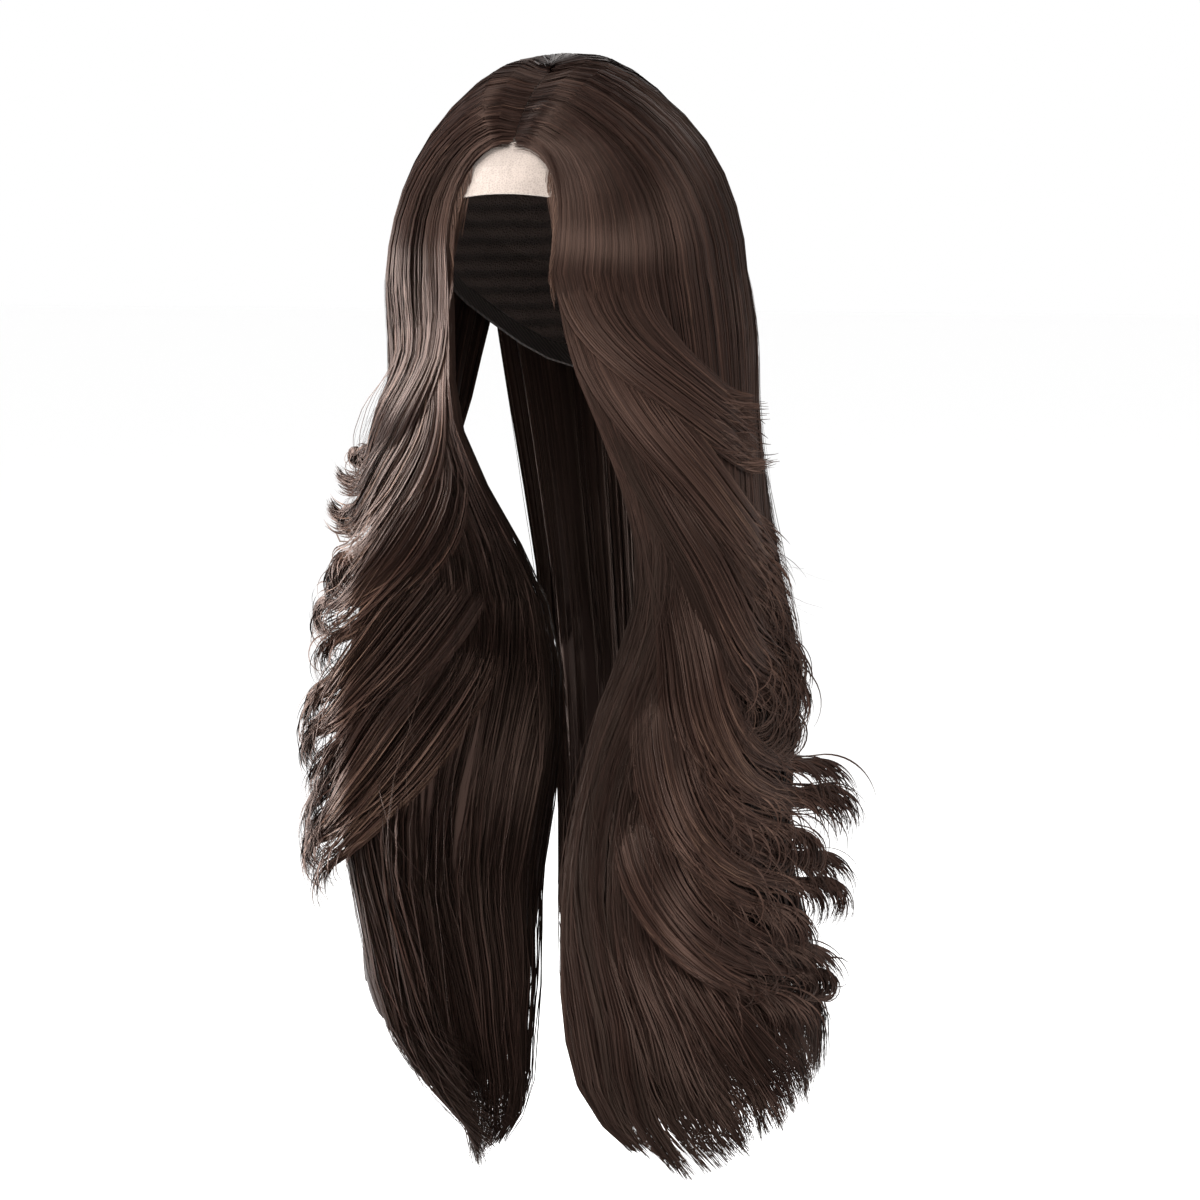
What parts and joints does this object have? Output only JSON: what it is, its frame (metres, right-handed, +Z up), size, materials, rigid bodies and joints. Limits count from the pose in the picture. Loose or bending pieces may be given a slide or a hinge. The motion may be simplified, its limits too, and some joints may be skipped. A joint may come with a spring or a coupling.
{
  "type": "wavy wig",
  "caption": "Long dark wig with a middle parting, a lace front, face layers that sweep back and flick out, and full waves that curl under at the ends",
  "frame": {"origin": "the inside of the crown of the cap, which is the mount head_seat, where the top of a head sits", "axes": "+Z up the head, -Y out through the face opening, +X towards the wearer's left"},
  "size_m": [0.2853, 0.2462, 0.5984],
  "materials": {
    "cap_net": "matt dark brown cap net",
    "elastic": "matt dark woven elastic",
    "lace": "fine sheer beige lace net",
    "hair_fibre": "silky dark brown heat-resistant fibre",
    "layer_fibre": "silky dark brown heat-resistant fibre"
  },
  "bodies": {
    "root": {"cap": "cap_net", "edge_band": "elastic", "lace_front": "lace", "hair_left": "hair_fibre", "hair_right": "hair_fibre", "hair_back": "hair_fibre", "face_layer_left_1": "layer_fibre", "face_layer_left_2": "layer_fibre", "face_layer_left_3": "layer_fibre", "face_layer_left_4": "layer_fibre", "face_layer_left_5": "layer_fibre", "face_layer_left_6": "layer_fibre", "face_layer_right_1": "layer_fibre", "face_layer_right_2": "layer_fibre", "face_layer_right_3": "layer_fibre", "face_layer_right_4": "layer_fibre", "face_layer_right_5": "layer_fibre"}
  },
  "joints": []
}
